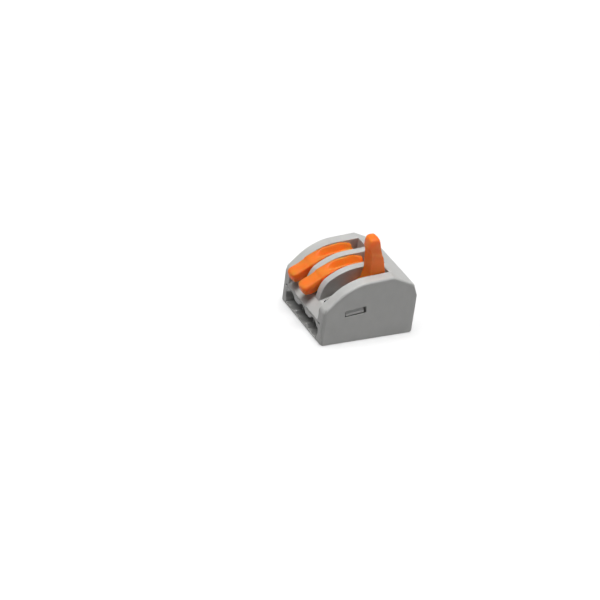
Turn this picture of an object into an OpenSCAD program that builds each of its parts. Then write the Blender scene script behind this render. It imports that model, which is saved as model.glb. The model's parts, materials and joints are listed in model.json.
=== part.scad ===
// Lever wire connector with three poles side by side. Each pole has a hand lever that opens
// a cage clamp for one stripped wire, and one busbar joins the poles. Millimetres.
// +X runs across the poles, +Z is up, and the wires enter through the front, which faces -Y.
// The origin is the middle of the base. Side profiles are drawn as [depth from the front, height].
// Levers one and two are shut and lever three stands open.

/* [Housing] */
// Distance from one pole to the next
pole_pitch = 5.0; // [4.8:0.05:5.6]
// Depth from the wire entries to the back
body_d = 20.5; // [20:0.1:23]
// Height of the ridge, the highest line of the housing
ridge_h = 13.7; // [13.4:0.1:15]
// Distance of the ridge behind the lever pivots
ridge_back = 4.35; // [4.3:0.05:5]
// Fall of the rim from the ridge towards the front, in degrees
rim_fall = 3.6; // [2:0.2:6]
// Height at which the upright front edge turns into the front slope
front_h = 7.8; // [7.2:0.1:8.2]
// Angle of the front slope above level, in degrees
front_slope = 44; // [41:1:48]
// Radius of the bend between front slope and rim
rim_r = 11; // [6:0.5:12]
// Height of the crest, where the roof meets the back
crest_h = 11.4; // [10.4:0.1:12.4]
// How far the crest lies in front of the back
crest_in = 1.1; // [0.6:0.1:1.6]
// Height of the upright part of the back
back_h = 8.6; // [7:0.1:9.6]
// Thickness of the walls outside the outer channels
outer_wall = 2.4; // [2.1:0.05:2.8]
// Thickness of the back wall
back_wall = 1.5; // [1:0.1:1.8]
// Thickness of the roof behind the levers
roof_t = 1.2; // [0.8:0.1:1.6]
// Rounding of the outer edges that run along the side walls
edge_r = 0.4; // [0.2:0.05:0.5]
// Rounding of the upright corners at front and back
upright_r = 0.5; // [0.5:0.1:1.2]
// Rounding of the lower front and back edges
base_r = 0.7; // [0.5:0.1:1]
// Rounding of the ridge and the crest
crown_r = 0.9; // [0.7:0.05:1.2]
// Rounding between the front edges and the front slope
front_r = 1.6; // [1:0.1:2]

/* [Lever channels] */
// Clear width of a lever channel
channel_w = 3.45; // [3.2:0.05:3.7]
// How far the partitions stand back from the front
partition_in = 1.8; // [1.4:0.05:2.2]
// Radius of the partitions' front edges, which bend back into the front slope
partition_r = 6; // [4:0.5:7]
// Height of the flat face of the front lip
lip_face = 0.4; // [0.25:0.05:0.5]
// Depth of the bevel behind the front lip
bevel_d = 1.9; // [1.4:0.1:2.4]
// Height of the channel floor behind the bevel
floor_h = 6.9; // [6.5:0.05:7.2]
// Rise of the channel floor towards the pivots, in degrees
floor_rise = 16; // [10:1:18]
// Thickness of the channel floor above the clamp chamber
floor_t = 1.2; // [0.8:0.1:1.4]
// Wall between the end of a channel and the hollow behind it
channel_end_t = 0.9; // [0.6:0.1:1.4]
// Clearance around the hub at the front of its channel
hub_gap = 0.3; // [0.2:0.05:0.5]
// Clearance behind a turning lever in its channel
rear_gap = 0.5; // [0.3:0.05:0.55]
// Distance of the hollow in a channel floor behind the front
core_u = 2.45; // [2.3:0.05:2.6]
// Length of the hollow in a channel floor
core_l = 2.35; // [1.8:0.05:2.4]
// Width of the hollow in a channel floor at its front
core_w = 2.2; // [2:0.05:2.6]
// Ledge left on each side of the hollow at its back
core_side = 0.1; // [0.05:0.05:0.4]
// Plastic left below the hollow in a channel floor
core_t = 1.1; // [0.9:0.05:1.4]
// Plastic below the bearing holes of the pivots
bearing_t = 0.25; // [0.2:0.05:0.4]
// Length of the mould slit behind each partition
slit_l = 1.3; // [0.8:0.1:1.8]
// Width and depth of the mould slit
slit_w = 0.3; // [0.2:0.05:0.5]
// Width of the notch at each end of the lip's seam
notch_w = 0.8; // [0.5:0.05:1]
// Height of the notch at each end of the lip's seam
notch_h = 0.3; // [0.2:0.05:0.4]
// Depth of the notch at each end of the lip's seam
notch_d = 0.6; // [0.3:0.05:0.8]

/* [Base insert] */
// Thickness of the base
base_t = 0.8; // [0.6:0.05:1]
// Clearance between the insert and the housing
fit_gap = 0.05; // [0.03:0.01:0.1]
// Radius of the round wire guides
wire_r = 1.6; // [1.4:0.05:1.7]
// How much wider than its guide the upper half of a wire entry is, on each side
entry_flare = 0.25; // [0.15:0.05:0.3]
// Radius of the lower half of a wire entry
funnel_r = 2.35; // [2.2:0.05:2.45]
// Depth of the straight part of a wire entry
mouth_d = 2.4; // [2:0.1:2.6]
// Depth of the cone between wire entry and wire guide
cone_d = 0.8; // [0.6:0.1:1.2]
// Length of the round wire guides
guide_l = 2.4; // [2.2:0.1:2.6]
// Height of the teeth that hang between the wire entries
tooth_h = 1.1; // [0.9:0.05:1.3]
// Height of the ribs that stand between the wire entries
rib_h = 0.7; // [0.5:0.05:0.9]
// Depth of the slot between teeth and ribs
slot_d = 1.6; // [1.2:0.1:2]
// Plastic above the wire guides
guide_roof = 0.45; // [0.35:0.05:0.6]
// Thickness of the ribs between the clamp chambers
rib_t = 0.9; // [0.7:0.05:1]
// Thickness of the wall that stops the wires
stop_t = 1.2; // [0.8:0.1:1.6]
// Thickness of the wall under the spring loops
pedestal_t = 1.0; // [0.8:0.1:1.4]
// Depth of the floor pockets below the open clamps
pocket_d = 0.4; // [0.3:0.05:0.5]

/* [Latches] */
// Distance of the lower front corner of the latch windows from the front
latch_u = 4.75; // [4.6:0.05:5.2]
// Length of the latch windows
latch_l = 4.6; // [4:0.05:5]
// Height of the lower front corner of the latch windows
latch_z = 6.05; // [5.6:0.05:6.2]
// Height of the latch windows
latch_h = 1.45; // [1.2:0.05:1.7]
// Rise of the latch windows towards the back, in degrees
latch_tilt = 6; // [0:0.5:7]
// Thickness of the latch arms
latch_t = 0.7; // [0.5:0.05:0.85]
// How deep the latch lugs lie below the side walls
latch_recess = 0.1; // [0.05:0.05:0.4]
// Height of the bevel on top of the latch lugs
lug_bevel = 0.7; // [0.4:0.05:0.9]
// Depth of the bevel on top of the latch lugs
lug_lean = 0.35; // [0.2:0.05:0.6]
// Clearance around the latch lugs in their windows
lug_gap = 0.1; // [0.05:0.05:0.2]
// Clearance behind the latch lugs in their windows
lug_end_gap = 0.35; // [0.2:0.05:0.5]

/* [Levers] */
// Distance of the pivots behind the front
pivot_u = 10.25; // [10.1:0.05:10.5]
// Height of the pivots above the base
pivot_h = 10.05; // [9.85:0.05:10.2]
// How far an open lever is turned, in degrees
open_angle = 103; // [90:1:106]
// Clearance on each side of a lever in its channel
side_gap = 0.125; // [0.08:0.005:0.2]
// Radius of the lever hub
hub_r = 3.3; // [3.2:0.05:3.4]
// Radius of the pivot stubs
stub_r = 1.0; // [0.8:0.05:1.1]
// Length of a pivot stub beyond its channel wall
stub_l = 0.45; // [0.3:0.05:0.55]
// Clearance around the pivot stubs
stub_gap = 0.05; // [0.03:0.01:0.08]
// Distance from the pivot to the tip of the nose
reach = 11.5; // [11.1:0.05:11.7]
// Length of the head in front of the arm
head_l = 3.8; // [3.5:0.05:4.2]
// Width of the head
head_w = 2.95; // [2.6:0.05:3.1]
// Rounding of the nose seen from above
nose_r = 0.7; // [0.4:0.05:1]
// How far the upper edge of the nose lies below the pivot
nose_top = 1.1; // [0.9:0.05:1.3]
// How far the lower edge of the nose lies below the pivot
nose_low = 2.65; // [2.4:0.05:2.8]
// How far the lower edge of the nose lies behind its upper edge
nose_lean = 0.6; // [0.3:0.05:0.8]
// Height of the back of the head above the pivot
head_top = 0.8; // [0.65:0.05:0.95]
// Step from the head up to the arm
arm_step = 0.15; // [0.1:0.05:0.3]
// Distance from the pivot to the bend in the arm
arm_bend = 4.0; // [3.7:0.1:4.3]
// Radius of the bend in the arm
arm_r = 4; // [2:0.5:5]
// Height of the bend in the arm above the pivot
arm_top = 2.8; // [2.6:0.05:2.95]
// How far the underside of the arm lies below the pivot
arm_low = 0.5; // [0.4:0.05:0.7]
// Length of the level underside of the arm
arm_flat = 3.4; // [3:0.1:4]
// Distance from the pivot to the rear end of the arm
tail_l = 2.4; // [2.2:0.05:2.45]
// Height of the rear end of the arm above the pivot
tail_top = 2.9; // [2.7:0.05:2.95]
// Rounding of the small edges of a lever
tip_r = 0.3; // [0.2:0.02:0.34]
// Width of the trough along the arm
trough_w = 2.1; // [1.6:0.05:2.4]
// Depth of the trough at the bend in the arm
trough_d = 0.65; // [0.4:0.05:0.75]
// Depth of the trough at the rear end of the arm
trough_end_d = 0.3; // [0.15:0.05:0.6]
// Distance from the pivot to the front end of the trough
trough_l = 5.6; // [4.8:0.1:6.2]

/* [Clamps] */
// Width of the chamber that holds a clamp
chamber_w = 4.0; // [3.9:0.05:4.1]
// Thickness of the busbar
bus_t = 0.8; // [0.6:0.05:0.9]
// Height of the busbar above the wire guides
bus_lift = 0.2; // [0.1:0.05:0.3]
// Width of a busbar finger
finger_w = 2.5; // [2.2:0.05:2.6]
// Depth of the busbar spine that joins the fingers
spine_d = 2.5; // [2:0.1:2.8]
// Distance of the spine behind the front
spine_u = 11.5; // [11:0.1:12]
// Thickness of the spring strip
strip_t = 0.4; // [0.3:0.05:0.45]
// Width of the spring strip
strip_w = 3.7; // [3.5:0.05:3.8]
// Width of the window in the spring strip
window_w = 2.7; // [2.65:0.05:2.8]
// Radius of the spring loop, to the middle of the strip
loop_r = 1.0; // [0.9:0.05:1.1]
// Clearance between the spring loop and the back wall
loop_gap = 0.9; // [0.6:0.05:1.2]
// Smallest distance from the pivot to the cam, with the lever shut
cam_low = 1.7; // [1.5:0.05:1.9]
// Length of the cam's flat in front of the pivot
cam_toe = 0.6; // [0.5:0.1:1.2]
// Room between the busbar and the cam of an open lever, for the pressed spring
press_room = 1.7; // [1.6:0.05:1.9]
// Clearance between a cam and its spring
cam_gap = 0.04; // [0.02:0.01:0.08]
// Distance of the spring's front bend behind the wire guides
bend_u = 3.6; // [3.4:0.1:4]
// Radius of the spring's front bend, to the middle of the strip
bend_r = 0.8; // [0.6:0.05:1]
// Lean of the clamping leg from upright, in degrees
leg_lean = 24; // [20:1:26]
// Height of the bar that grips the wire
grip_h = 0.7; // [0.5:0.05:0.8]
// Clearance that lets a spring move past its neighbours
spring_gap = 0.06; // [0.04:0.01:0.1]

/* [Hidden] */
$fn = 64;
overcut = 1;
arc_step = 5;
poles = [-1, 0, 1];
rest_open = [0, 0, 1];

body_w = 2 * pole_pitch + channel_w + 2 * outer_wall;
inner_w = 2 * pole_pitch + chamber_w;
lever_w = channel_w - 2 * side_gap;

// Heights from the base up
wire_z = base_t + wire_r;
guide_top = wire_z + wire_r;
insert_h = guide_top + guide_roof;
tooth_z = insert_h - tooth_h;
seam_z = insert_h + fit_gap;
lip_z = seam_z + lip_face;
bus_z = guide_top + bus_lift;
foot_z = bus_z + bus_t;
loop_z = foot_z + strip_t / 2 + loop_r;
neck_z = pivot_h - stub_r - stub_gap - bearing_t;

// Depths from the front back
block_d = mouth_d + cone_d + guide_l;
back_u = body_d - back_wall;
loop_u = back_u - loop_gap - loop_r - strip_t / 2;
cam_high = pivot_h - foot_z - press_room;
swing_r = max(hub_r, cam_high);
channel_front = pivot_u - swing_r - hub_gap;
channel_end = pivot_u + max(swing_r, norm([tail_l, tail_top])) + rear_gap;
ridge_u = pivot_u + ridge_back;
crest_u = body_d - crest_in;
roof_slope = (ridge_h - crest_h) / (crest_u - ridge_u);
bend_in = (ridge_h - ridge_u * tan(rim_fall) - front_h) / (tan(front_slope) - tan(rim_fall));

// Lean of the spring's upper leg with the lever shut and open, from the two radii of the cam
loop_to_pivot = [pivot_u - loop_u, pivot_h - loop_z];
leg_offset = loop_r + strip_t / 2 + cam_gap;
pivot_bearing = atan2(-loop_to_pivot.x, loop_to_pivot.y);
function leg_rise(cam_r) = acos((cam_r + leg_offset) / norm(loop_to_pivot)) - pivot_bearing;
rise_shut = leg_rise(cam_low);
press_angle = rise_shut - leg_rise(cam_high);

// Heights of the roof, the channel floor and the front slope at a depth
function roof_at(u) = ridge_h - roof_slope * (u - ridge_u);
function floor_at(u) = floor_h + (u - bevel_d) * tan(floor_rise);
function slope_at(u) = front_h + u * tan(front_slope);
function on_circle(r, a) = r * [cos(a), sin(a)];
function unit(v) = v / norm(v);

// Points of an arc from angle a by sweep degrees
function arc(centre, r, a, sweep) =
    let (n = max(2, ceil(abs(sweep) / arc_step)))
    [for (i = [0:n]) centre + on_circle(r, a + sweep * i / n)];

// An outline whose corners [x, y, radius] are rounded
function xy(p) = [p.x, p.y];
function turned(a) = a > 180 ? a - 360 : a < -180 ? a + 360 : a;
function corner(before, here, after) =
    let (p = unit(xy(before) - xy(here)), q = unit(xy(after) - xy(here)), r = here.z,
         half = acos(p * q) / 2, run = r / tan(half),
         centre = xy(here) + unit(p + q) * r / sin(half),
         from = xy(here) + p * run - centre, to = xy(here) + q * run - centre,
         a = atan2(from.y, from.x))
    arc(centre, r, a, turned(atan2(to.y, to.x) - a));
function rounded(corners) =
    let (n = len(corners))
    [for (i = [0:n - 1]) each corner(corners[(i + n - 1) % n], corners[i], corners[(i + 1) % n])];

// The corners of a convex outline after edge i, from corner i to the next, moves inwards by d[i]
least_r = 0.05;
function inset(corners, d) =
    let (n = len(corners))
    [for (i = [0:n - 1])
        let (j = (i + n - 1) % n, here = xy(corners[i]),
             a = unit(here - xy(corners[j])), b = unit(xy(corners[(i + 1) % n]) - here),
             moved = here + (b * d[j] - a * d[i]) / cross(a, b))
        [moved.x, moved.y, max(corners[i].z - (d[i] + d[j]) / 2, least_r)]];

// Side outline of the housing
side_corners = [
    [0, 0, base_r], [body_d, 0, base_r], [body_d, back_h, upright_r], [crest_u, crest_h, crown_r],
    [ridge_u, ridge_h, crown_r], [bend_in, slope_at(bend_in), rim_r], [0, front_h, front_r]];

// A strip of even thickness along a path of points
function strip_side(path, shift) =
    let (n = len(path) - 1)
    [for (i = [0:n]) let (d = unit(path[min(i + 1, n)] - path[max(i - 1, 0)])) path[i] + shift * [-d.y, d.x]];
function reversed(list) = [for (i = [len(list) - 1:-1:0]) list[i]];
function strip(path) = concat(strip_side(path, strip_t / 2), reversed(strip_side(path, -strip_t / 2)));

// Extrudes a side profile from x0 to x1
module across(x0, x1) {
    translate([x0, -body_d / 2, 0]) rotate([90, 0, 90]) linear_extrude(x1 - x0) children();
}
module across_mid(x, w) {
    across(x - w / 2, x + w / 2) children();
}
// A block across the housing, between two depths and two heights
module block(w, u0, u1, z0, z1, x = 0) {
    translate([x - w / 2, u0 - body_d / 2, z0]) cube([w, u1 - u0, z1 - z0]);
}
module at_depth(x, u, z) {
    translate([x, u - body_d / 2, z]) children();
}
module at_pole(i) {
    translate([poles[i] * pole_pitch, 0, 0]) children();
}
module each_pole() {
    for (i = [0:len(poles) - 1]) at_pole(i) children();
}
module at_partitions() {
    for (side = [-1, 1]) translate([side * pole_pitch / 2, 0, 0]) children();
}
module both_sides() {
    for (side = [0, 1]) mirror([side, 0, 0]) children();
}

// How far an edge rounded by r has moved in at the distance t from the side wall
function round_in(t, r) = t < r ? r - sqrt(r * r - (r - t) * (r - t)) : 0;

// The outer form: side outlines that shrink towards both side walls
module outer_body() {
    steps = 7;
    insets = [for (i = [0:steps]) let (t = upright_r * (1 - sin(90 * i / steps)))
        [body_w / 2 - t, round_in(t, edge_r), round_in(t, upright_r)]];
    sections = concat([for (s = reversed(insets)) [-s.x, s.y, s.z]], insets);
    rings = [for (s = sections) [for (p = rounded(inset(side_corners, [s.y, s.z, s.y, s.y, s.y, s.y, s.z])))
        [s.x, p.x - body_d / 2, p.y]]];
    n = len(rings[0]);
    last = len(rings) - 1;
    walls = [for (j = [0:last - 1], i = [0:n - 1]) let (k = (i + 1) % n)
        each [[j * n + i, (j + 1) * n + k, j * n + k], [j * n + i, (j + 1) * n + i, (j + 1) * n + k]]];
    caps = [for (i = [1:n - 2]) each [[0, i, i + 1], [last * n, last * n + i + 1, last * n + i]]];
    polyhedron(points = [for (ring = rings) each ring], faces = concat(walls, caps));
}

// The space of one lever channel above its floor, open to the clamp chamber under the hub
module lever_channel() {
    across_mid(0, channel_w) polygon([
        [-overcut, lip_z], [0, lip_z], [bevel_d, floor_h], [channel_front, floor_at(channel_front)],
        [channel_front, neck_z - overcut], [channel_end, neck_z - overcut],
        [channel_end, ridge_h + overcut], [-overcut, ridge_h + overcut]]);
    core_end = core_u + core_l;
    core_back = channel_w - 2 * core_side;
    translate([0, -body_d / 2, seam_z + core_t])
        linear_extrude(floor_at(core_end) + overcut - seam_z - core_t) polygon([
            [-core_w / 2, core_u], [core_w / 2, core_u],
            [core_back / 2, core_end], [-core_back / 2, core_end]]);
}

// The space over the bevel in front of the partitions. Their front edges bend back until they
// cross the front slope at a small angle.
module front_space() {
    steeper = 5;
    turn = 90 - front_slope - steeper;
    end_u = partition_in + partition_r * (1 - cos(turn));
    bend = [partition_in + partition_r, slope_at(end_u) - partition_r * sin(turn)];
    out = [end_u, slope_at(end_u)] + on_circle(overcut, 90 - turn);
    across_mid(0, 2 * pole_pitch + channel_w) polygon(concat(
        [[-overcut, lip_z], [0, lip_z], [partition_in, lip_z + (floor_h - lip_z) * partition_in / bevel_d]],
        arc(bend, partition_r, 180, -turn), [out, [-overcut, out.y]]));
}

// The hollow around one clamp, up to the roof behind the lever channel
module clamp_chamber() {
    hollow_u = channel_end + channel_end_t;
    across_mid(0, chamber_w) polygon([
        [block_d, seam_z - overcut], [block_d, floor_at(block_d) - floor_t],
        [channel_front, floor_at(channel_front) - floor_t], [channel_front, neck_z],
        [hollow_u, neck_z], [hollow_u, roof_at(hollow_u) - roof_t],
        [back_u, roof_at(back_u) - roof_t], [back_u, seam_z - overcut]]);
}

// Straight mouth of radius r and the cone behind it
module funnel(r) {
    at_depth(0, 0, wire_z) rotate([-90, 0, 0]) {
        translate([0, 0, -overcut]) cylinder(h = mouth_d + overcut, r = r);
        translate([0, 0, mouth_d]) cylinder(h = cone_d, r1 = r, r2 = wire_r);
    }
}

// One wire entry: a round mouth that is wider below the teeth, and the round guide
module wire_entry() {
    funnel(wire_r + entry_flare);
    intersection() {
        funnel(funnel_r);
        block(2 * funnel_r, -overcut, block_d, base_t, tooth_z);
    }
    at_depth(0, mouth_d, wire_z) rotate([-90, 0, 0]) cylinder(h = block_d - mouth_d + overcut, r = wire_r);
}

// Bearing holes for the pivot stubs of one lever
module bearing() {
    depth = stub_l + stub_gap;
    at_depth(-channel_w / 2 - depth, pivot_u, pivot_h)
        rotate([0, 90, 0]) cylinder(h = channel_w + 2 * depth, r = stub_r + stub_gap);
}

module housing_shell() {
    rib_top = foot_z + fit_gap;
    arm_space = latch_t + 2 * fit_gap;
    arm_x = inner_w / 2 - fit_gap;
    color([0.55, 0.55, 0.54]) difference() {
        outer_body();
        front_space();
        each_pole() lever_channel();
        each_pole() clamp_chamber();
        each_pole() wire_entry();
        each_pole() bearing();
        block(inner_w, -overcut, block_d, -overcut, seam_z);
        block(inner_w, block_d - fit_gap, back_u, -overcut, rib_top);
        both_sides() {
            block(notch_w, -overcut, notch_d, seam_z - notch_h / 2, seam_z + notch_h / 2,
                  x = arm_x + notch_w / 2);
            block(arm_space, latch_u, latch_u + latch_l, -overcut, arm_z + fit_gap,
                  x = arm_x + arm_space / 2);
            in_window() translate([arm_x, 0, 0]) cube([body_w / 2, latch_l, latch_h]);
        }
        at_partitions() across_mid(0, slit_w) polygon([
            [ridge_u, roof_at(ridge_u) - slit_w], [ridge_u + slit_l, roof_at(ridge_u + slit_l) - slit_w],
            [ridge_u + slit_l, ridge_h + overcut], [ridge_u, ridge_h + overcut]]);
    }
}

// The frame of the latch window on the +X side, from its lower front corner
module in_window() {
    at_depth(0, latch_u, latch_z) rotate([latch_tilt, 0, 0]) children();
}
// Extrudes an outline of width and height along the depth from u0 to u1
module lengthwise(u0, u1) {
    translate([0, u1, 0]) rotate([90, 0, 0]) linear_extrude(u1 - u0) children();
}

// One latch arm on the +X side, with the lug that snaps into the housing's window
arm_z = latch_z + latch_h / 2;
module latch_arm() {
    x0 = inner_w / 2;
    x1 = x0 + latch_t;
    root = x0 - fit_gap - overcut;
    lug_x = body_w / 2 - latch_recess;
    top = latch_h - lug_gap;
    at_depth(0, latch_u, 0) lengthwise(lug_gap, latch_l - lug_gap)
        polygon([[root, 0], [x1, 0], [x1, arm_z], [x0, arm_z], [x0, base_t], [root, base_t]]);
    in_window() lengthwise(lug_gap, latch_l - lug_end_gap)
        polygon([[x0, lug_gap], [lug_x, lug_gap], [lug_x, top - lug_bevel],
                 [lug_x - lug_lean, top], [x0, top]]);
}

module base_insert() {
    w = inner_w - 2 * fit_gap;
    end_u = back_u - fit_gap;
    stop_u = spine_u + (spine_d - stop_t) / 2;
    color([0.5, 0.5, 0.49]) difference() {
        union() {
            across_mid(0, w) polygon(concat(arc([base_r, base_r], base_r, 180, 90), [
                [end_u, 0], [end_u, base_t], [block_d, base_t], [block_d, insert_h], [0, insert_h]]));
            both_sides() latch_arm();
            at_partitions() block(rib_t, block_d - fit_gap, loop_u + loop_r, 0, foot_z);
            block(w, stop_u, stop_u + stop_t, 0, bus_z);
            block(w, loop_u - loop_r - pedestal_t, loop_u - loop_r, 0, foot_z);
        }
        each_pole() wire_entry();
        block(2 * pole_pitch, -overcut, slot_d, base_t + rib_h, tooth_z);
        each_pole() block(strip_w + 4 * spring_gap, block_d + grip_h, block_d + bend_u,
                          base_t - pocket_d, base_t + overcut);
        block(inner_w, spine_u - fit_gap, spine_u + spine_d + fit_gap, bus_z, foot_z + overcut);
    }
}

module busbar() {
    color([0.78, 0.76, 0.7]) {
        block(inner_w - 4 * fit_gap, spine_u, spine_u + spine_d, bus_z, foot_z);
        each_pole() block(finger_w, block_d + 2 * fit_gap, spine_u + spine_d, bus_z, foot_z);
    }
}

// Spring path in the shut state: the foot on the busbar and the loop, which is split a little
// above the level of its centre
split_angle = 10;
split_turn = spring_gap / loop_r * 180 / PI;
loop_at = [loop_u, loop_z];
module spring_foot() {
    front_u = block_d + bend_u + spring_gap;
    path = concat([[front_u, foot_z + strip_t / 2]], arc(loop_at, loop_r, -90, 90 + split_angle));
    across_mid(0, strip_w) polygon(strip(path));
}

// Upper leg from the split over the cam's seat, down through the busbar finger to the grip
leg_from = loop_at + on_circle(loop_r, 90 - rise_shut);
bend_from = leg_from + on_circle(1, 180 - rise_shut) * (leg_from.x - block_d - bend_u) / cos(rise_shut);
bend_turn = 90 - leg_lean + rise_shut;
bend_at = bend_from + on_circle(bend_r, 270 - rise_shut);
bend_to = bend_at + on_circle(bend_r, 180 - leg_lean);
grip_z = bus_z - spring_gap - grip_h;
leg_l = (bend_to.y - grip_z) / cos(leg_lean);
module spring_cage() {
    split_to = split_angle + split_turn;
    path = concat(arc(loop_at, loop_r, split_to, 90 - rise_shut - split_to),
                  arc(bend_at, bend_r, 90 - rise_shut, bend_turn),
                  [bend_to + leg_l * on_circle(1, 270 - leg_lean)]);
    difference() {
        across_mid(0, strip_w) polygon(strip(path));
        at_depth(0, bend_to.x, bend_to.y) rotate([-leg_lean, 0, 0])
            translate([-window_w / 2, -strip_t, -leg_l + grip_h])
                cube([window_w, 2 * strip_t, leg_l - grip_h + strip_t / 2]);
    }
}

module spring_foot_of(i) {
    color([0.72, 0.73, 0.74]) at_pole(i) spring_foot();
}
module spring_cage_of(i) {
    color([0.66, 0.67, 0.69]) at_pole(i)
        at_depth(0, loop_u, loop_z) rotate([rest_open[i] * press_angle, 0, 0])
            translate([0, body_d / 2 - loop_u, -loop_z]) spring_cage();
}

// Cam outline around the pivot: the spring's leg rolls along it as the lever opens
function cam_points() =
    let (n = ceil(open_angle / arc_step), far = 2 * swing_r,
         state = function (t) let (rise = rise_shut - press_angle * t)
             [270 - rise + open_angle * t,
              norm(loop_to_pivot) * cos(rise + pivot_bearing) - leg_offset],
         slope = function (t) let (d = 0.001, a = state(t - d), b = state(t + d))
             (b[1] - a[1]) / (b[0] - a[0]) * 180 / PI,
         side = function (t) let (s = state(t)) on_circle(1, s[0] + 90),
         point = function (t) let (s = state(t)) on_circle(s[1], s[0]) + slope(t) * side(t))
    let (toe = point(0) - cam_toe * side(0))
    concat([[-far, -arm_low], [toe.x, -arm_low], toe], [for (i = [0:n]) point(i / n)],
           [point(1) + far * side(1), [-far, far]]);

// One shut lever around its pivot at the origin, with its arm towards the front
module lever() {
    neck = reach - head_l;
    arm_from = [tip_r - neck, head_top + arm_step + tip_r / 2];
    arm_to = [-arm_bend, arm_top];
    arm = [
        [nose_lean - reach, -nose_low, tip_r], [-arm_flat, -arm_low, tip_r], [tail_l, -arm_low, tip_r],
        [tail_l, tail_top, tip_r], [0, hub_r, arm_r],
        [arm_to.x, arm_to.y, arm_r], [arm_from.x, arm_from.y, least_r],
        [-neck, head_top, least_r], [-reach, -nose_top, 2 * tip_r]];
    trough_from = arm_from + (arm_to - arm_from) * (trough_l + arm_from.x) / (arm_from.x - arm_to.x);
    trough_bend = arm_to - [0, trough_d];
    difference() {
        union() {
            intersection() {
                lever_plate(lever_w) polygon(rounded(arm));
                lever_plan(lever_w, neck);
            }
            intersection() {
                rotate([0, 90, 0]) cylinder(h = lever_w, r = swing_r, center = true);
                lever_plate(lever_w) polygon(cam_points());
            }
            both_sides() translate([lever_w / 2 - overcut, 0, 0]) rotate([0, 90, 0]) {
                cylinder(h = side_gap + stub_l / 2 + overcut, r = stub_r);
                translate([0, 0, side_gap + stub_l / 2 + overcut])
                    cylinder(h = stub_l / 2, r1 = stub_r, r2 = stub_r - stub_l / 2);
            }
        }
        trough(trough_from, trough_bend);
        trough(trough_bend, [tail_l, tail_top - trough_end_d]);
    }
}
// A round trough whose bottom runs through two points of a lever's side profile
module trough(from, to) {
    trough_r = (trough_w * trough_w / 4 + trough_d * trough_d) / (2 * trough_d);
    translate([0, from.x, from.y]) rotate([atan2(to.y - from.y, to.x - from.x), 0, 0])
        translate([0, 0, trough_r]) rotate([90, 0, 0]) cylinder(h = 2 * reach, r = trough_r, center = true);
}
module lever_plate(w) {
    translate([-w / 2, 0, 0]) rotate([90, 0, 90]) linear_extrude(w) children();
}
// Plan of a lever: the full width of the arm, a narrower head and a rounded nose
module lever_plan(w, neck) {
    shoulder = (w - head_w) / 2;
    half = [[head_w / 2, -neck], [w / 2, shoulder - neck], [w / 2, hub_r]];
    translate([0, 0, -2 * hub_r]) linear_extrude(4 * hub_r) polygon(concat(
        half, [for (p = reversed(half)) [-p.x, p.y]],
        arc([nose_r - head_w / 2, nose_r - reach], nose_r, 180, 90),
        arc([head_w / 2 - nose_r, nose_r - reach], nose_r, 270, 90)));
}

module lever_of(i) {
    color([0.93, 0.45, 0.12]) at_pole(i)
        at_depth(0, pivot_u, pivot_h) rotate([-rest_open[i] * open_angle, 0, 0]) lever();
}

housing_shell();
base_insert();
busbar();
lever_of(0);  // lever_1
lever_of(1);  // lever_2
lever_of(2);  // lever_3
spring_foot_of(0);  // spring_foot_1
spring_foot_of(1);  // spring_foot_2
spring_foot_of(2);  // spring_foot_3
spring_cage_of(0);  // spring_cage_1
spring_cage_of(1);  // spring_cage_2
spring_cage_of(2);  // spring_cage_3
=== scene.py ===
import json
import math

import bmesh
import bpy
from mathutils import Matrix, Vector


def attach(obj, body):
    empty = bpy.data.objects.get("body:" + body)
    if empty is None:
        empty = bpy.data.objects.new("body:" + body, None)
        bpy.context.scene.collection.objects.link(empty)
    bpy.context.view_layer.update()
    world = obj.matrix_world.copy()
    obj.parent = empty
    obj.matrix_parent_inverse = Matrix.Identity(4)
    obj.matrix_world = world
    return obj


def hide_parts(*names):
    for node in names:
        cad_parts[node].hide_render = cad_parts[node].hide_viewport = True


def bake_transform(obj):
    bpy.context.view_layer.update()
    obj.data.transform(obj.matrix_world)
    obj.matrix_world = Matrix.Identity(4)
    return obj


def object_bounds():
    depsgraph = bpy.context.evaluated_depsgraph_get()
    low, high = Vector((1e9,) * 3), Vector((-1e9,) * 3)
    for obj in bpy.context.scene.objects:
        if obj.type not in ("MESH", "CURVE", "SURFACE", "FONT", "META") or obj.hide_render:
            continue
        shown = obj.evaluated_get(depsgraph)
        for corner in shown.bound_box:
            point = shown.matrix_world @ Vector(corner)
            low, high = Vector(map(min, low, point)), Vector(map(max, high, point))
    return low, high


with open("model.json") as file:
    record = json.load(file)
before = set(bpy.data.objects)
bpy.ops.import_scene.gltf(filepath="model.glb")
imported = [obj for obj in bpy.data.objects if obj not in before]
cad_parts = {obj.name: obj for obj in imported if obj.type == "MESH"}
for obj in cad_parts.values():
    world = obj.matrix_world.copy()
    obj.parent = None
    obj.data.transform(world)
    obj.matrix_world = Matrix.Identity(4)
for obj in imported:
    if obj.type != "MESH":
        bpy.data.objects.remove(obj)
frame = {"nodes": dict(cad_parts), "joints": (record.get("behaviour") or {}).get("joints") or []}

cad_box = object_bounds()

# Sizes and places are in millimetres and degrees unless a comment says metres, and become the frame's metres
# where they are used
MM = 0.001
FROM_MM = Matrix.Scale(MM, 4)
TO_MM = Matrix.Scale(1 / MM, 4)
POLES = (1, 2, 3)

# The photograph's view: the camera's bearing, height and roll, its distance from a point of the object, and
# how far the picture's middle lies to the right of that point and above it
VIEW_AZIMUTH = 59.41
VIEW_ELEVATION = 30.85
VIEW_ROLL = 8.23
VIEW_DISTANCE = 497.2
VIEW_TARGET = Vector((0, 0, 6.0))
VIEW_MIDDLE = Vector((-9.86, -1.91))
LENS = 150.0
SENSOR_W = 36.0
NEAREST_SEEN = 10.0

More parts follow.
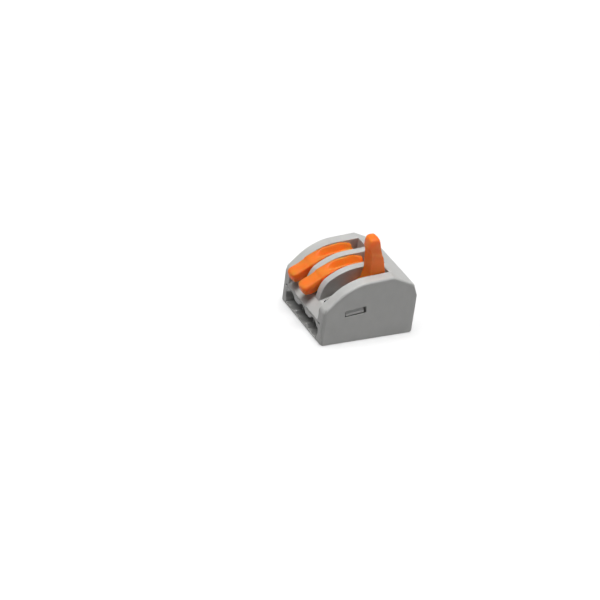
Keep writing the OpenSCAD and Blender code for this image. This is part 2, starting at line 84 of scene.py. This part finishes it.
# Moulded forms: the size of the cells they are rebuilt from, how strongly one pass smooths them, how many
# passes come before and after their points are moved, and the share of their faces that is kept
CELL = 0.06
SMOOTHING = 0.5
HOUSING_PASSES = (4, 0)
HOUSING_KEEP = 0.2
LEVER_PASSES = (30, 20)
LEVER_KEEP = 0.25

# Radius of the housing's upright front corners
CORNER_R = 0.8

# The lug in a latch window: its middle along y and z, its rise towards the back, its half length and height,
# how far it is drawn in all round, and the distances from the plane x = 0 over which this sets in
LUG_Y = -3.41
LUG_Z = 6.99
LUG_RISE = 6.0
LUG_HALF_L = 2.1
LUG_HALF_H = 0.65
LUG_INSET = 0.12
LUG_INNER = 8.3
LUG_OUTER = 8.7

# The head of a shut lever as a block: its middle from the pivot, its slope, its half width, length and
# height, and how far it is drawn in from a block, 0, towards a ball, 1
HEAD_AT = Vector((0, -9.6, -1.15))
HEAD_SLOPE = 21.0
HEAD_HALF = Vector((1.5, 1.85, 1.15))
HEAD_ROUNDNESS = 0.47
# As shares of the block: how much wider it gets, how much lower its underside hangs and how far that comes
# forward, where along the block this starts, and over which length it grows to its full share
CHEEK_GROWTH = 0.05
CHIN_GROWTH = 0.6
CHIN_PUSH = 0.12
HEAD_BACK = 1.2
HEAD_RUN = 0.9

# The trough along the arm of a shut lever: how much it is sunk, its half width, where in front of the pivot
# the sinking starts and is full, and the heights above the pivot over which it sets in
SINK_DEPTH = 0.8
SINK_HALF = 1.1
SINK_FRONT = 6.6
SINK_FULL = 2.8
SINK_LOW = 0.9
SINK_HIGH = 2.0

# The clamp springs: strip, loop, front bend, clamping leg and cam
STRIP_T = 0.4
STRIP_W = 3.7
WINDOW_W = 2.7
LOOP_R = 1.0
FOOT_FRONT = -1.0
BEND_FRONT = -1.05
BEND_R = 0.8
LEG_LEAN = 24.0
GRIP_LOW = 3.44
GRIP_H = 0.7
CAM_LOW = 1.7
CAM_GAP = 0.04

# Eased edges of the metal pieces: their widths, their steps, the angle from which a strip's edge counts as
# sharp, and the gap up to which the busbar's points are joined
STRIP_EDGE = 0.06
BUSBAR_EDGE = 0.08
EDGE_STEPS = 2
SHARP_ANGLE = 50.0
JOIN_GAP = 0.001

# Colours as linear light
GREY = (0.47, 0.47, 0.46)
ORANGE = (0.90, 0.21, 0.018)
TIN = (0.72, 0.70, 0.66)
STEEL = (0.58, 0.58, 0.59)
FLOOR_GREY = (0.35, 0.35, 0.35)
WHITE = (1.0, 1.0, 1.0)

# The ends between which most values of a noise lie, and the detail of a fine noise
NOISE_LOW = 0.3
NOISE_HIGH = 0.7
FINE_DETAIL = 3.0

# Plastics: the strength of their reflections, their roughness and its change, the change of their colour, the
# sizes of their clouds, grain and flow lines, the grain's depth, and the flow lines' depth as its multiple
PLASTIC_SHINE = 0.35
PLASTIC_ROUGHNESS = 0.45
ROUGHNESS_CHANGE = 0.05
COLOUR_CHANGE = 0.04
CLOUD_SIZE = 3.0
GRAIN_SIZE = 0.12
GREY_GRAIN_DEPTH = 0.004
ORANGE_GRAIN_DEPTH = 0.002
FLOW_SIZE = 1.6
FLOW_STRETCH = (1, 3, 1)
FLOW_OVER_GRAIN = 2

# Shade painted into the housing's colour in its recesses: how far off walls still darken a point, how dark
# the painted shade gets, and the shares of open surroundings at which it is darkest and no longer dark
RECESS_REACH = 4.0
RECESS_DARKEST = 0.15
RECESS_DEEP = 0.15
RECESS_OPEN = 0.5
RECESS_SAMPLES = 16

# Light that spreads inside the levers: how far, and the share of that way for red, green and blue
GLOW_DEPTH = 3.0
GLOW_SHARES = (1.0, 0.1, 0.04)

# Metal strip: roughness, and the size, stretch and depth of its rolling lines, with the change they bring to
# the colour and the roughness
TIN_ROUGHNESS = 0.34
STEEL_ROUGHNESS = 0.26
LINE_SIZE = 0.05
LINE_STRETCH = (1, 40, 40)
LINE_DEPTH = 0.002
LINE_DARK = 0.9
LINE_BRIGHT = 1.06
LINE_SMOOTHER = 0.06
LINE_ROUGHER = 0.08

# The floor, in metres: it keeps its shadows inside the first radius, and is plain white outside the second
SHADOW_RADIUS = 0.05
WHITE_RADIUS = 0.2
FLOOR_RADIUS = 2.0
FLOOR_SIDES = 64
FLOOR_DROP = 0.02 * MM
FLOOR_ROUGHNESS = 0.9
SHADOW_GLOW = 0.6

# The lamps, in metres: their size and what they face, and the light from all around
LAMP_SIZE = 0.2
LAMP_AIM = Vector((0, 0, 8 * MM))
WORLD_FILL = 0.02


def joint(name):
    """A joint of the record by its name."""
    return next(j for j in frame["joints"] if j["name"] == name)


def ease(value, low, high):
    """Rises smoothly from 0 at low to 1 at high."""
    share = min(max((value - low) / (high - low), 0.0), 1.0)
    return share * share * (3 - 2 * share)


# Materials

def new_material(name):
    """A material with its node tree, its shader and a coordinate node."""
    material = bpy.data.materials.new(name)
    material.use_nodes = True
    tree = material.node_tree
    shader = tree.nodes["Principled BSDF"]
    place = tree.nodes.new("ShaderNodeTexCoord")
    return material, tree, shader, place


def noise(tree, place, size, detail=2.0, stretch=(1, 1, 1)):
    """Noise whose grains are about size wide, drawn out along the axes by stretch."""
    mapping = tree.nodes.new("ShaderNodeMapping")
    mapping.inputs["Scale"].default_value = [1 / (size * MM * s) for s in stretch]
    texture = tree.nodes.new("ShaderNodeTexNoise")
    texture.inputs["Scale"].default_value = 1.0
    texture.inputs["Detail"].default_value = detail
    tree.links.new(place.outputs["Object"], mapping.inputs["Vector"])
    tree.links.new(mapping.outputs["Vector"], texture.inputs["Vector"])
    return texture.outputs["Fac"]


def ranged(tree, value, source, target):
    """A value whose range source, a low and a high end, is laid over the range target."""
    node = tree.nodes.new("ShaderNodeMapRange")
    node.inputs["From Min"].default_value = source[0]
    node.inputs["From Max"].default_value = source[1]
    node.inputs["To Min"].default_value = target[0]
    node.inputs["To Max"].default_value = target[1]
    tree.links.new(value, node.inputs["Value"])
    return node.outputs["Result"]


def spread(tree, value, low, high):
    """A noise value spread between low and high."""
    return ranged(tree, value, (NOISE_LOW, NOISE_HIGH), (low, high))


def shaded(colour, factor):
    """A colour made darker or brighter by factor."""
    return (*[c * factor for c in colour], 1.0)


def between(tree, factor, a, b):
    """A colour that runs from a to b with factor."""
    node = tree.nodes.new("ShaderNodeMix")
    node.data_type = "RGBA"
    node.inputs["A"].default_value = a
    node.inputs["B"].default_value = b
    tree.links.new(factor, node.inputs["Factor"])
    return node.outputs["Result"]


def either(tree, a, b):
    """The larger of two values."""
    node = tree.nodes.new("ShaderNodeMath")
    node.operation = "MAXIMUM"
    tree.links.new(a, node.inputs[0])
    tree.links.new(b, node.inputs[1])
    return node.outputs[0]


def bump(tree, shader, heights):
    """Bumps from pairs of a height value and a depth, laid over each other."""
    normal = None
    for value, depth in heights:
        node = tree.nodes.new("ShaderNodeBump")
        node.inputs["Strength"].default_value = 1.0
        node.inputs["Distance"].default_value = depth * MM
        tree.links.new(value, node.inputs["Height"])
        if normal:
            tree.links.new(normal, node.inputs["Normal"])
        normal = node.outputs["Normal"]
    tree.links.new(normal, shader.inputs["Normal"])


def painted_recess_shade(tree, base):
    """The base colour with painted shade: darker where other walls stand close by."""
    nearby = tree.nodes.new("ShaderNodeAmbientOcclusion")
    nearby.only_local = True
    nearby.samples = RECESS_SAMPLES
    nearby.inputs["Distance"].default_value = RECESS_REACH * MM
    shade = ranged(tree, nearby.outputs["AO"], (RECESS_DEEP, RECESS_OPEN), (RECESS_DARKEST, 1.0))
    scaled = tree.nodes.new("ShaderNodeVectorMath")
    scaled.operation = "SCALE"
    tree.links.new(base, scaled.inputs[0])
    tree.links.new(shade, scaled.inputs["Scale"])
    return scaled.outputs["Vector"]


def moulded_plastic(name, colour, grain_depth, with_painted_shade):
    """Satin moulded plastic: slightly cloudy colour, fine grain and faint flow lines, and if asked, painted
    shade darkening the colour in recesses.
    """
    material, tree, shader, place = new_material(name)
    clouds = spread(tree, noise(tree, place, CLOUD_SIZE), 0.0, 1.0)
    base = between(tree, clouds, shaded(colour, 1 - COLOUR_CHANGE), shaded(colour, 1 + COLOUR_CHANGE))
    # Painted shade: the colour is darkened in recesses
    if with_painted_shade:
        base = painted_recess_shade(tree, base)
    tree.links.new(base, shader.inputs["Base Color"])
    grain = noise(tree, place, GRAIN_SIZE, FINE_DETAIL)
    smoothest = PLASTIC_ROUGHNESS - ROUGHNESS_CHANGE
    roughest = PLASTIC_ROUGHNESS + ROUGHNESS_CHANGE
    tree.links.new(spread(tree, grain, smoothest, roughest), shader.inputs["Roughness"])
    flow = noise(tree, place, FLOW_SIZE, stretch=FLOW_STRETCH)
    bump(tree, shader, [(grain, grain_depth), (flow, FLOW_OVER_GRAIN * grain_depth)])
    shader.inputs["Specular IOR Level"].default_value = PLASTIC_SHINE
    return material


def glowing(material):
    """Lets light spread below a plastic's surface."""
    shader = material.node_tree.nodes["Principled BSDF"]
    shader.inputs["Subsurface Weight"].default_value = 1.0
    shader.inputs["Subsurface Radius"].default_value = GLOW_SHARES
    shader.inputs["Subsurface Scale"].default_value = GLOW_DEPTH * MM
    return material


def rolled_metal(name, colour, roughness):
    """Rolled metal strip with fine lines along its length."""
    material, tree, shader, place = new_material(name)
    lines = noise(tree, place, LINE_SIZE, FINE_DETAIL, LINE_STRETCH)
    shares = spread(tree, lines, 0.0, 1.0)
    base = between(tree, shares, shaded(colour, LINE_DARK), shaded(colour, LINE_BRIGHT))
    tree.links.new(base, shader.inputs["Base Color"])
    shader.inputs["Metallic"].default_value = 1.0
    changed = spread(tree, lines, roughness - LINE_SMOOTHER, roughness + LINE_ROUGHER)
    tree.links.new(changed, shader.inputs["Roughness"])
    bump(tree, shader, [(lines, LINE_DEPTH)])
    return material


# The grey plastic's colour carries painted shade, darker in the recesses of the housing and the insert
grey_plastic = moulded_plastic("grey_plastic", GREY, GREY_GRAIN_DEPTH, with_painted_shade=True)
orange_plastic = glowing(moulded_plastic("orange_plastic", ORANGE, ORANGE_GRAIN_DEPTH, with_painted_shade=False))
tin_plate = rolled_metal("tin_plate", TIN, TIN_ROUGHNESS)
spring_steel = rolled_metal("spring_steel", STEEL, STEEL_ROUGHNESS)


# Meshes

def new_piece(name, mesh, material):
    """A smooth-shaded object of the mesh, with its material."""
    piece = bpy.data.objects.new(name, mesh)
    bpy.context.scene.collection.objects.link(piece)
    mesh.materials.clear()
    mesh.materials.append(material)
    mesh.shade_smooth()
    return piece


def modified(mesh, modifiers):
    """The mesh after a list of modifiers, each a kind and its settings in millimetres."""
    mesh.transform(TO_MM)
    carrier = bpy.data.objects.new("carrier", mesh)
    bpy.context.scene.collection.objects.link(carrier)
    for kind, settings in modifiers:
        modifier = carrier.modifiers.new(kind, kind)
        for key, value in settings.items():
            setattr(modifier, key, value)
    graph = bpy.context.evaluated_depsgraph_get()
    result = bpy.data.meshes.new_from_object(carrier.evaluated_get(graph))
    bpy.data.objects.remove(carrier)
    bpy.data.meshes.remove(mesh)
    result.transform(FROM_MM)
    return result


def moulded(node, passes, keep, warp, place=FROM_MM):
    """A CAD node's form with its edges rounded as a mould leaves them, and its points moved by warp.

    warp works in the millimetres of the frame that place turns into the model's.
    """
    first, last = (("SMOOTH", {"factor": SMOOTHING, "iterations": count}) for count in passes)
    rebuilt = ("REMESH", {"mode": "VOXEL", "voxel_size": CELL})
    mesh = modified(frame["nodes"][node].data.copy(), [rebuilt, first])
    from_model = place.inverted()
    for vertex in mesh.vertices:
        vertex.co = place @ warp(from_model @ vertex.co)
    return modified(mesh, [last, ("DECIMATE", {"ratio": keep})])


# Housing and insert

def rounded_corner(point):
    """Rounds the upright front corners of the housing, which reaches as far forward as it does back."""
    half_w = cad_box[1][0] / MM
    half_d = cad_box[1][1] / MM
    across = (abs(point.x) - half_w) / CORNER_R + 1
    ahead = (-point.y - half_d) / CORNER_R + 1
    if across <= 0 or ahead <= 0:
        return point
    share = max(across, ahead) / math.hypot(across, ahead)
    x = half_w + (across * share - 1) * CORNER_R
    y = half_d + (ahead * share - 1) * CORNER_R
    return Vector((math.copysign(x, point.x), -y, point.z))


def drawn_in_lug(point):
    """Widens the gap around the latch lugs of the insert."""
    share = ease(abs(point.x), LUG_INNER, LUG_OUTER)
    if share == 0:
        return point
    turn = Matrix.Rotation(math.radians(LUG_RISE), 3, "X")
    middle = Vector((point.x, LUG_Y, LUG_Z))
    local = turn.inverted() @ (point - middle)
    if abs(local.y) > LUG_HALF_L + LUG_INSET or abs(local.z) > LUG_HALF_H + LUG_INSET:
        return point
    local.y *= 1 - share * LUG_INSET / LUG_HALF_L
    local.z *= 1 - share * LUG_INSET / LUG_HALF_H
    return middle + turn @ local


shell_mesh = moulded("housing_shell", HOUSING_PASSES, HOUSING_KEEP, rounded_corner)
shell = new_piece("upper_housing", shell_mesh, grey_plastic)
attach(shell, "housing")
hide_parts("housing_shell")

insert_mesh = moulded("base_insert", HOUSING_PASSES, HOUSING_KEEP, drawn_in_lug)
insert = new_piece("lower_insert", insert_mesh, grey_plastic)
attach(insert, "housing")
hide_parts("base_insert")


# Levers

def lever_place(pole):
    """From a shut lever around its pivot, in metres, to the lever where it rests."""
    pivot = joint(f"lever_{pole}_pivot")
    opened = math.radians(-pivot["range_deg"][0])
    return Matrix.Translation(pivot["pos_m"]) @ Matrix.Rotation(opened, 4, Vector(pivot["axis"]))


def rounded_head(point):
    """Draws the corners of a shut lever's head in, from a block towards a ball, and swells its underside."""
    place = (Matrix.Translation(HEAD_AT) @ Matrix.Rotation(math.radians(HEAD_SLOPE), 4, "X")
             @ Matrix.Diagonal((*HEAD_HALF, 1.0)))
    block = place.inverted() @ point
    share = ease(-block.y, -HEAD_BACK, HEAD_RUN - HEAD_BACK)
    if share == 0:
        return point
    block.x *= 1 + CHEEK_GROWTH * share
    chin = share * ease(-block.z, 0, 1)
    block.y -= CHIN_PUSH * chin
    block.z *= 1 + CHIN_GROWTH * chin
    x, y, z = (min(c * c, 1.0) for c in block)
    ball = Vector((block.x * math.sqrt(1 - y / 2 - z / 2 + y * z / 3),
                   block.y * math.sqrt(1 - x / 2 - z / 2 + x * z / 3),
                   block.z * math.sqrt(1 - x / 2 - y / 2 + x * y / 3)))
    return place @ block.lerp(ball, HEAD_ROUNDNESS * share)


def sunk_trough(point):
    """Sinks the trough along a shut lever's arm a little more."""
    across = min(abs(point.x) / SINK_HALF, 1.0)
    depth = SINK_DEPTH * math.cos(across * math.pi / 2) ** 2
    depth *= ease(-point.y, SINK_FRONT, SINK_FULL) * ease(point.z, SINK_LOW, SINK_HIGH)
    return point - Vector((0, 0, depth))


def lever_form(point):
    """Gives a shut lever its bulging head and its deep trough."""
    return sunk_trough(rounded_head(point))


for pole in POLES:
    lever_mesh = moulded(f"lever_{pole}", LEVER_PASSES, LEVER_KEEP, lever_form, lever_place(pole) @ FROM_MM)
    lever = new_piece(f"hand_lever_{pole}", lever_mesh, orange_plastic)
    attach(lever, f"lever_{pole}")
    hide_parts(f"lever_{pole}")


# Busbar

busbar_mesh = modified(frame["nodes"]["busbar"].data.copy(), [
    ("WELD", {"merge_threshold": JOIN_GAP}),
    ("BEVEL", {"width": BUSBAR_EDGE, "segments": EDGE_STEPS, "limit_method": "ANGLE"})])
busbar = new_piece("tin_busbar", busbar_mesh, tin_plate)
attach(busbar, "housing")
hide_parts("busbar")


# Clamp springs: a foot that lies on the busbar, and a band that loops back over it to the grip

def on_circle(radius, angle):
    """A point on a circle in the plane of y and z."""
    return Vector((radius * math.cos(math.radians(angle)), radius * math.sin(math.radians(angle))))


def arc(centre, radius, start, sweep, steps=16):
    """Points along an arc."""
    return [centre + on_circle(radius, start + sweep * i / steps) for i in range(steps + 1)]


def line(a, b, steps=10):
    """Points along a straight line."""
    return [a.lerp(b, i / steps) for i in range(steps + 1)]


def band_path(pole):
    """Points of the band from the loop's lowest point to the grip, and the first point beside the window."""
    pivot = Vector(joint(f"lever_{pole}_pivot")["pos_m"]).yz / MM
    flex = joint(f"cage_{pole}_flex")
    loop = Vector(flex["pos_m"]).yz / MM
    press = -flex["range_deg"][0]
    apart = pivot - loop
    leg_offset = CAM_LOW + LOOP_R + STRIP_T / 2 + CAM_GAP
    rise = math.degrees(math.acos(leg_offset / apart.length) - math.atan2(-apart.x, apart.y))
    leg_from = loop + on_circle(LOOP_R, 90 - rise)
    leg_length = (leg_from.x - BEND_FRONT) / math.cos(math.radians(rise))
    bend_from = leg_from + on_circle(leg_length, 180 - rise)
    bend_at = bend_from + on_circle(BEND_R, 270 - rise)
    bend = arc(bend_at, BEND_R, 90 - rise, 90 - LEG_LEAN + rise)
    grip_length = (bend[-1].y - GRIP_LOW) / math.cos(math.radians(LEG_LEAN))
    grip = bend[-1] + on_circle(grip_length, 270 - LEG_LEAN)
    window_end = bend[-1].lerp(grip, 1 - GRIP_H / grip_length)
    leg = line(leg_from, bend_from)[1:] + bend[1:] + [window_end, grip]
    turn = Matrix.Rotation(math.radians(press), 2)
    turned = [loop + turn @ (point - loop) for point in leg]
    path = arc(loop, LOOP_R, -90, 180 - rise + press) + turned
    return path, len(path) - 3


def strip_mesh(name, x, path, window_from=None):
    """A flat strip along path with its edges eased.

    A window, where there is one, runs from the point window_from of the path to the last point but one.
    """
    columns = [s * w / 2 for s, w in ((-1, STRIP_W), (-1, WINDOW_W), (1, WINDOW_W), (1, STRIP_W))]
    form = bmesh.new()
    rows = [[form.verts.new((x + c, p.x, p.y)) for c in columns] for p in path]
    for i, (row, after) in enumerate(zip(rows, rows[1:])):
        beside_window = window_from is not None and window_from <= i < len(path) - 2
        for j in (0, 2) if beside_window else (0, 1, 2):
            form.faces.new((row[j], row[j + 1], after[j + 1], after[j]))
    mesh = bpy.data.meshes.new(name)
    form.to_mesh(mesh)
    form.free()
    mesh.transform(FROM_MM)
    return modified(mesh, [
        ("SOLIDIFY", {"thickness": STRIP_T, "offset": 0.0}),
        ("BEVEL", {"width": STRIP_EDGE, "segments": EDGE_STEPS, "limit_method": "ANGLE",
                   "angle_limit": math.radians(SHARP_ANGLE)})])


for pole in POLES:
    loop = Vector(joint(f"cage_{pole}_flex")["pos_m"])
    x = loop.x / MM
    path, window_from = band_path(pole)
    foot_path = line(Vector((FOOT_FRONT, path[0].y)), path[0])
    foot_mesh = strip_mesh(f"clamp_foot_{pole}", x, foot_path)
    foot = new_piece(f"clamp_foot_{pole}", foot_mesh, spring_steel)
    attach(foot, "housing")
    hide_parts(f"spring_foot_{pole}")
    band_mesh = strip_mesh(f"clamp_band_{pole}", x, path, window_from)
    band = new_piece(f"clamp_band_{pole}", band_mesh, spring_steel)
    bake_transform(band)
    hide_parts(f"spring_cage_{pole}")


# Floor

def white_floor():
    """A pale floor that keeps soft shadows near the object and is white further out.

    It can't be seen from below.
    """
    material, tree, shader, place = new_material("floor")
    shader.inputs["Base Color"].default_value = (*FLOOR_GREY, 1)
    shader.inputs["Roughness"].default_value = FLOOR_ROUGHNESS
    shader.inputs["Specular IOR Level"].default_value = 0.0
    rays = tree.nodes.new("ShaderNodeLightPath")
    seen = either(tree, rays.outputs["Is Camera Ray"], rays.outputs["Is Glossy Ray"])
    radius = tree.nodes.new("ShaderNodeVectorMath")
    radius.operation = "LENGTH"
    tree.links.new(place.outputs["Object"], radius.inputs[0])
    glow = ranged(tree, radius.outputs["Value"], (SHADOW_RADIUS, WHITE_RADIUS), (SHADOW_GLOW, 1.0))
    lift = tree.nodes.new("ShaderNodeMath")
    lift.operation = "MULTIPLY"
    tree.links.new(seen, lift.inputs[0])
    tree.links.new(glow, lift.inputs[1])
    shader.inputs["Emission Color"].default_value = (*WHITE, 1)
    tree.links.new(lift.outputs[0], shader.inputs["Emission Strength"])
    side = tree.nodes.new("ShaderNodeNewGeometry")
    clear = tree.nodes.new("ShaderNodeBsdfTransparent")
    mix = tree.nodes.new("ShaderNodeMixShader")
    tree.links.new(side.outputs["Backfacing"], mix.inputs["Fac"])
    tree.links.new(shader.outputs["BSDF"], mix.inputs[1])
    tree.links.new(clear.outputs["BSDF"], mix.inputs[2])
    tree.links.new(mix.outputs["Shader"], tree.nodes["Material Output"].inputs["Surface"])
    return material


floor_mesh = bpy.data.meshes.new("floor")
floor_form = bmesh.new()
bmesh.ops.create_circle(floor_form, cap_ends=True, segments=FLOOR_SIDES, radius=FLOOR_RADIUS)
floor_form.to_mesh(floor_mesh)
floor_form.free()
floor_mesh.materials.append(white_floor())
floor = bpy.data.objects.new("floor", floor_mesh)
floor.location.z = -FLOOR_DROP
bpy.context.scene.collection.objects.link(floor)


# Light

def soft_light(name, place, watts):
    """A square area lamp at a place in metres, turned towards the object."""
    lamp = bpy.data.lights.new(name, "AREA")
    lamp.size = LAMP_SIZE
    lamp.energy = watts
    holder = bpy.data.objects.new(name, lamp)
    holder.location = place
    holder.rotation_mode = "QUATERNION"
    holder.rotation_quaternion = (LAMP_AIM - Vector(place)).to_track_quat("-Z", "Y")
    bpy.context.scene.collection.objects.link(holder)


def studio_world():
    """White surroundings that add only a little light of their own."""
    world = bpy.data.worlds.new("studio")
    bpy.context.scene.world = world
    world.use_nodes = True
    tree = world.node_tree
    background = tree.nodes["Background"]
    rays = tree.nodes.new("ShaderNodeLightPath")
    direct = either(tree, rays.outputs["Is Camera Ray"], rays.outputs["Is Transmission Ray"])
    strength = ranged(tree, direct, (0.0, 1.0), (WORLD_FILL, 1.0))
    background.inputs["Color"].default_value = (*WHITE, 1)
    tree.links.new(strength, background.inputs["Strength"])


soft_light("overhead", (0, 0, 0.45), 1.97)
soft_light("front", (0, -0.2, 0.4), 0.6)
soft_light("right", (0.42, 0.18, 0.08), 0.4)
soft_light("left", (-0.45, 0, 0.08), 0.2)
soft_light("back", (0, 0.45, 0.08), 0.25)
studio_world()


# Camera

def photo_camera():
    """The camera at the photograph's place, turned so that its middle shows the same point."""
    azimuth, elevation, roll = (math.radians(a) for a in (VIEW_AZIMUTH, VIEW_ELEVATION, VIEW_ROLL))
    back = Vector((math.sin(azimuth) * math.cos(elevation), -math.cos(azimuth) * math.cos(elevation),
                   math.sin(elevation)))
    level = Vector((math.cos(azimuth), math.sin(azimuth), 0))
    upright = back.cross(level)
    right = level * math.cos(roll) + upright * math.sin(roll)
    up = back.cross(right)
    place = VIEW_TARGET + back * VIEW_DISTANCE
    seen = VIEW_TARGET + right * VIEW_MIDDLE.x + up * VIEW_MIDDLE.y
    back = (place - seen).normalized()
    right = up.cross(back).normalized()
    up = back.cross(right)
    data = bpy.data.cameras.new("camera")
    data.lens = LENS
    data.sensor_width = SENSOR_W
    data.clip_start = NEAREST_SEEN * MM
    camera = bpy.data.objects.new("camera", data)
    camera.matrix_world = Matrix((right, up, back)).transposed().to_4x4()
    camera.location = place * MM
    bpy.context.scene.collection.objects.link(camera)
    bpy.context.scene.camera = camera


photo_camera()
bpy.context.scene.view_settings.view_transform = "Standard"
